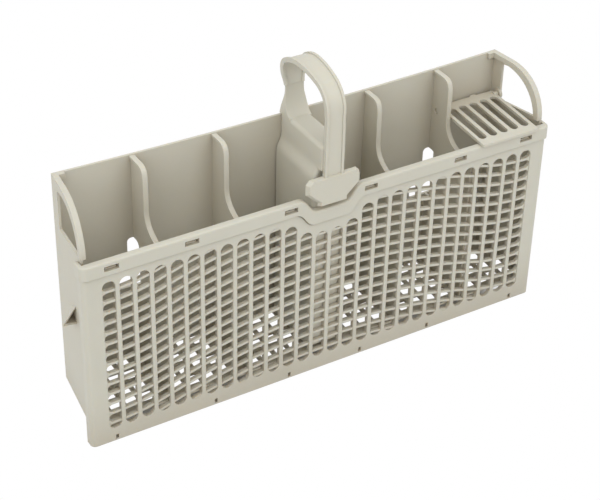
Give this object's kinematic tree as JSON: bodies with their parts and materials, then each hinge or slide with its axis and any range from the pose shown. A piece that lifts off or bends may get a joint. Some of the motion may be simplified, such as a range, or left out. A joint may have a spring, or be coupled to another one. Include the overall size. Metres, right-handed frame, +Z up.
{
  "type": "dishwasher cutlery basket",
  "caption": "Long plastic dishwasher cutlery basket with a clip-on waffle grille front, dividers, a central carry handle, end hand loops and a hinged slotted lid.",
  "frame": {"origin": "middle of the basket's length and depth, at the level of the grille panel's bottom edge", "axes": "+X along the basket to the lidded end, +Y from the grille to the back wall, +Z up"},
  "size_m": [0.5166, 0.086, 0.318],
  "materials": {
    "tub_plastic": "fine moulded texture, warm light grey polypropylene",
    "panel_plastic": "satin moulded, warm light grey polypropylene",
    "handle_plastic": "satin moulded, warm light grey polypropylene",
    "lid_plastic": "satin moulded, warm light grey polypropylene"
  },
  "bodies": {
    "basket": {"basket_tub": "tub_plastic", "grille_panel": "panel_plastic", "carry_handle": "handle_plastic"},
    "lid": {"small_items_lid": "lid_plastic"}
  },
  "joints": [
    {"name": "lid_hinge", "type": "hinge", "parent": "basket", "child": "lid", "pos_m": [0.2015, 0.03, 0.2076], "axis": [-1, 0, 0], "range_deg": [0, 95]}
  ]
}
